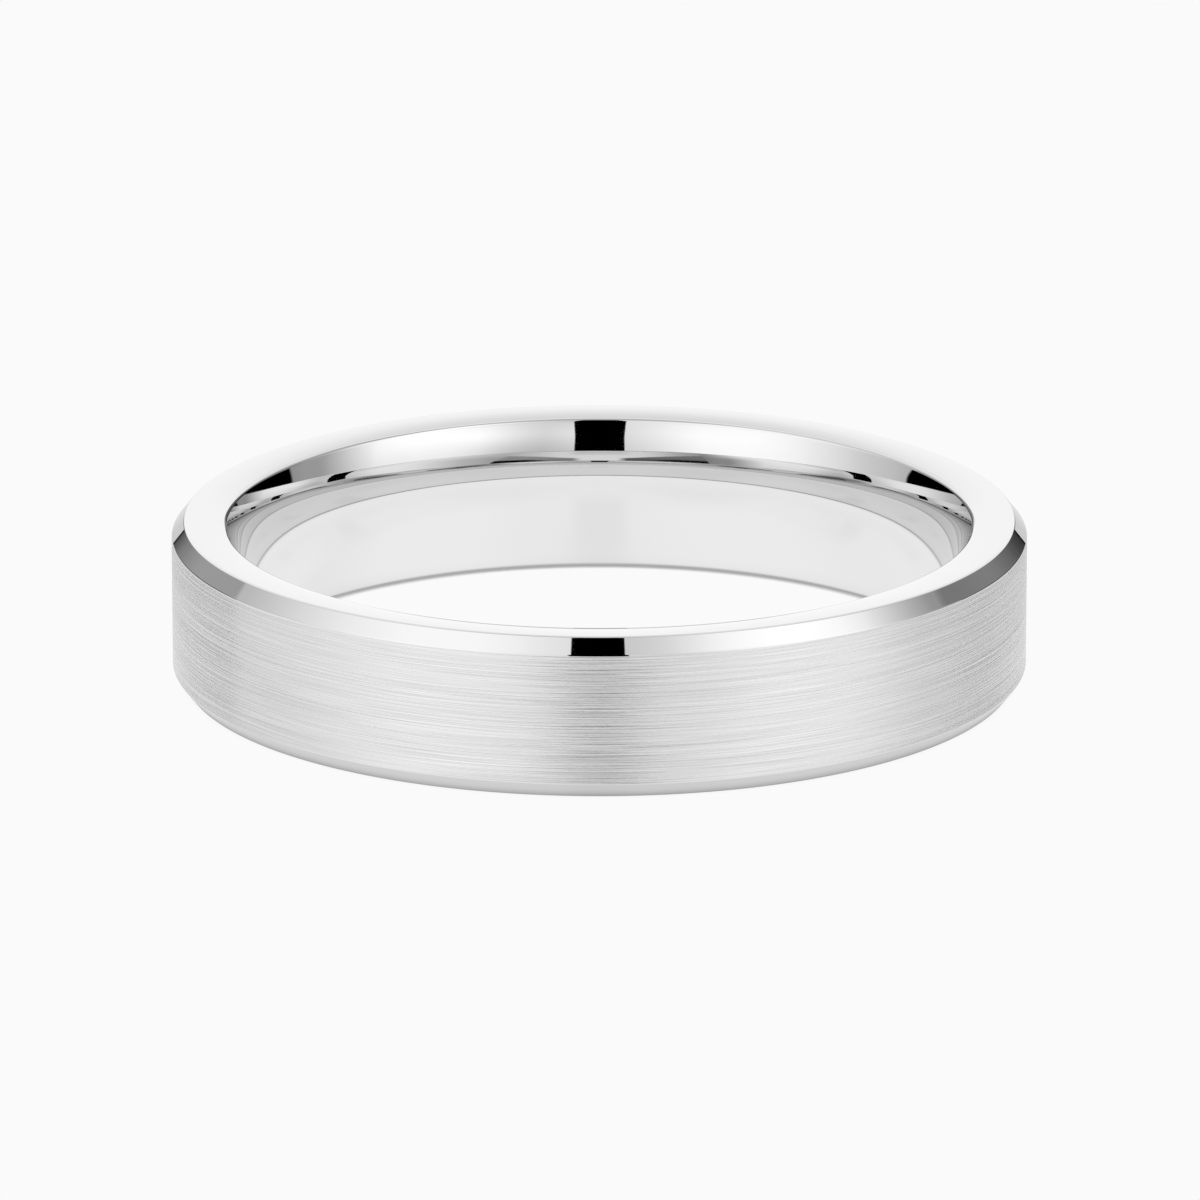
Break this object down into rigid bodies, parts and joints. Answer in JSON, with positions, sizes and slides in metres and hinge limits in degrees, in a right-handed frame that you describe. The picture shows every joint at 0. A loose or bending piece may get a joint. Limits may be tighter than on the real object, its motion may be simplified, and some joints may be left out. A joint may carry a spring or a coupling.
{
  "type": "wedding band",
  "caption": "Comfort-fit finger ring: flat brushed outer face, polished bevelled edges, polished side faces and a polished domed bore.",
  "frame": {"origin": "centre of the finger hole at half the band's width", "axes": "+Z along the finger's axis; the band lies flat on its -Z side face; +X and +Y are any two directions square to it, because the band is a body of revolution"},
  "size_m": [0.021, 0.021, 0.004],
  "materials": {
    "white_metal": "white precious metal, mirror polished on the bevels, side faces and bore, and satin brushed along the circumference on the flat outer face"
  },
  "bodies": {
    "root": {"band": "white_metal"}
  },
  "joints": []
}
